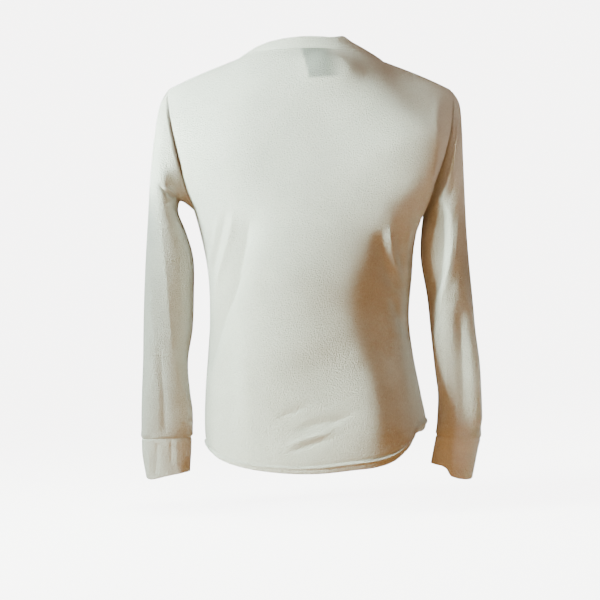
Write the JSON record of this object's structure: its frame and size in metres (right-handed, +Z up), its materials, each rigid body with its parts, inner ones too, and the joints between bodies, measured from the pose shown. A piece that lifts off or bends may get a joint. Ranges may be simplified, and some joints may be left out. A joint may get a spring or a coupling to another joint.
{
  "type": "long-sleeved thermal base layer top",
  "caption": "Close-fitting long-sleeved knit undershirt, filled out as worn, with a round bound neck, set-in sleeves, knit cuffs and a curved shirt-tail hem.",
  "frame": {"origin": "middle of the neck opening, level with the neck ends of the shoulder seams, where a wearer's neck and shoulders hold the top", "axes": "+Z up, the front faces -Y and the back +Y, and the wearer's left sleeve is at +X"},
  "size_m": [0.5301, 0.2491, 0.6759],
  "materials": {
    "jersey": "soft brushed off-white knit, matt",
    "rib": "fine off-white rib knit, matt",
    "label": "plain woven grey, blank"
  },
  "bodies": {
    "root": {"back_panel": "jersey", "front_panel": "jersey", "left_sleeve": "jersey", "right_sleeve": "jersey", "left_cuff": "rib", "right_cuff": "rib", "neck_band": "rib", "label": "label"}
  },
  "joints": []
}
